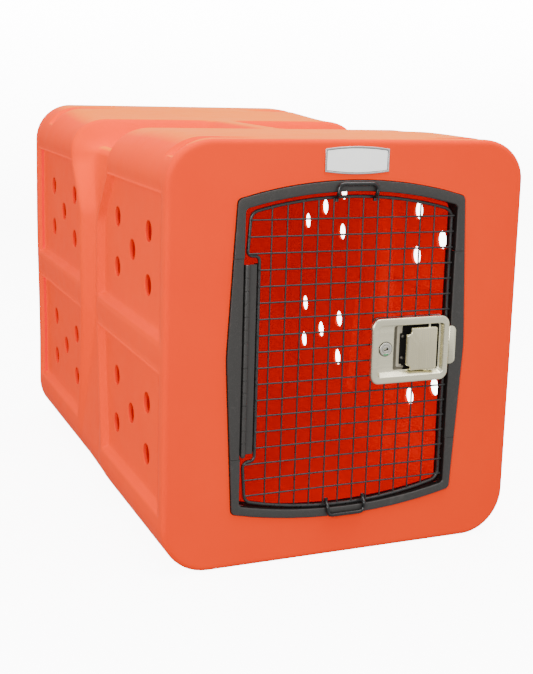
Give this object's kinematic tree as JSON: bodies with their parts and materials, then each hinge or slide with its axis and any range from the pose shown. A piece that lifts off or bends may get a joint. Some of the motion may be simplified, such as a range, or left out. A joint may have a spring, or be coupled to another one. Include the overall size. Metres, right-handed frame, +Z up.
{
  "type": "pet transport carrier",
  "caption": "Large one-piece plastic animal kennel with a waisted shell, vented side panels, a steel-framed wire door on a long hinge, and a flush paddle latch with a key lock.",
  "frame": {"origin": "centre of the flat base, where the kennel stands on the floor", "axes": "+Z up; the door is in the front face at -Y; +X to the right seen from the front, the side of the latch; the hinge is on the -X side"},
  "size_m": [0.607, 0.9527, 0.677],
  "materials": {
    "shell_orange": "satin moulded polyethylene",
    "black_powder_coat": "fine-textured black powder coat",
    "coated_wire": "dark grey coated wire",
    "latch_stainless": "brushed, warm tone",
    "zinc_steel": "zinc plated",
    "plate_rim": "satin",
    "plate_field": "plain white, no marking"
  },
  "bodies": {
    "kennel": {"shell": "shell_orange", "frame_top_bow": "black_powder_coat", "frame_bottom_bow": "black_powder_coat", "frame_hinge_rail": "black_powder_coat", "frame_latch_rail": "black_powder_coat", "strike_plate": "zinc_steel", "frame_backing_ring": "zinc_steel", "frame_screw_1": "zinc_steel", "frame_screw_2": "zinc_steel", "frame_screw_3": "zinc_steel", "frame_screw_4": "zinc_steel", "frame_screw_5": "zinc_steel", "frame_screw_6": "zinc_steel", "frame_screw_7": "zinc_steel", "frame_screw_8": "zinc_steel", "hinge_frame_leaf": "black_powder_coat", "hinge_pin": "zinc_steel", "name_plate_rim": "plate_rim", "name_plate_field": "plate_field"},
    "door": {"hinge_door_leaf": "black_powder_coat", "door_wire_panel": "coated_wire", "stop_loop_top": "black_powder_coat", "stop_loop_bottom": "black_powder_coat", "latch_pan": "latch_stainless", "latch_mount_plate": "latch_stainless", "latch_clamp_plate": "zinc_steel", "latch_screw_1": "zinc_steel", "latch_screw_2": "zinc_steel", "latch_screw_3": "zinc_steel", "latch_screw_4": "zinc_steel", "latch_housing": "zinc_steel", "housing_screw_1": "zinc_steel", "housing_screw_2": "zinc_steel", "paddle_pin": "zinc_steel", "paddle_spring": "zinc_steel", "bolt_spring": "zinc_steel", "lock_barrel": "zinc_steel", "lock_nut": "zinc_steel"},
    "paddle": {"paddle": "latch_stainless"},
    "bolt": {"latch_bolt": "zinc_steel"},
    "lock": {"lock_plug": "latch_stainless", "lock_cam": "zinc_steel"}
  },
  "joints": [
    {"name": "door_swing", "type": "hinge", "parent": "kennel", "child": "door", "pos_m": [-0.177, -0.473, 0.332], "axis": [0, 0, -1], "range_deg": [0, 160]},
    {"name": "paddle_turn", "type": "hinge", "parent": "door", "child": "paddle", "pos_m": [0.141, -0.4735, 0.3357], "axis": [0, 0, 1], "range_deg": [0, 35], "stiffness_Nm_per_rad": 0.3},
    {"name": "bolt_slide", "type": "slide", "parent": "door", "child": "bolt", "axis": [1, 0, 0], "range_m": [-0.012, 0], "deforming": ["bolt_spring"]},
    {"name": "lock_turn", "type": "hinge", "parent": "door", "child": "lock", "pos_m": [0.063, -0.47, 0.3357], "axis": [0, 1, 0], "range_deg": [0, 90]}
  ],
  "couplings": [
    {"joint": "paddle_turn", "follows": "bolt_slide", "rad_per_m": -50.9}
  ]
}
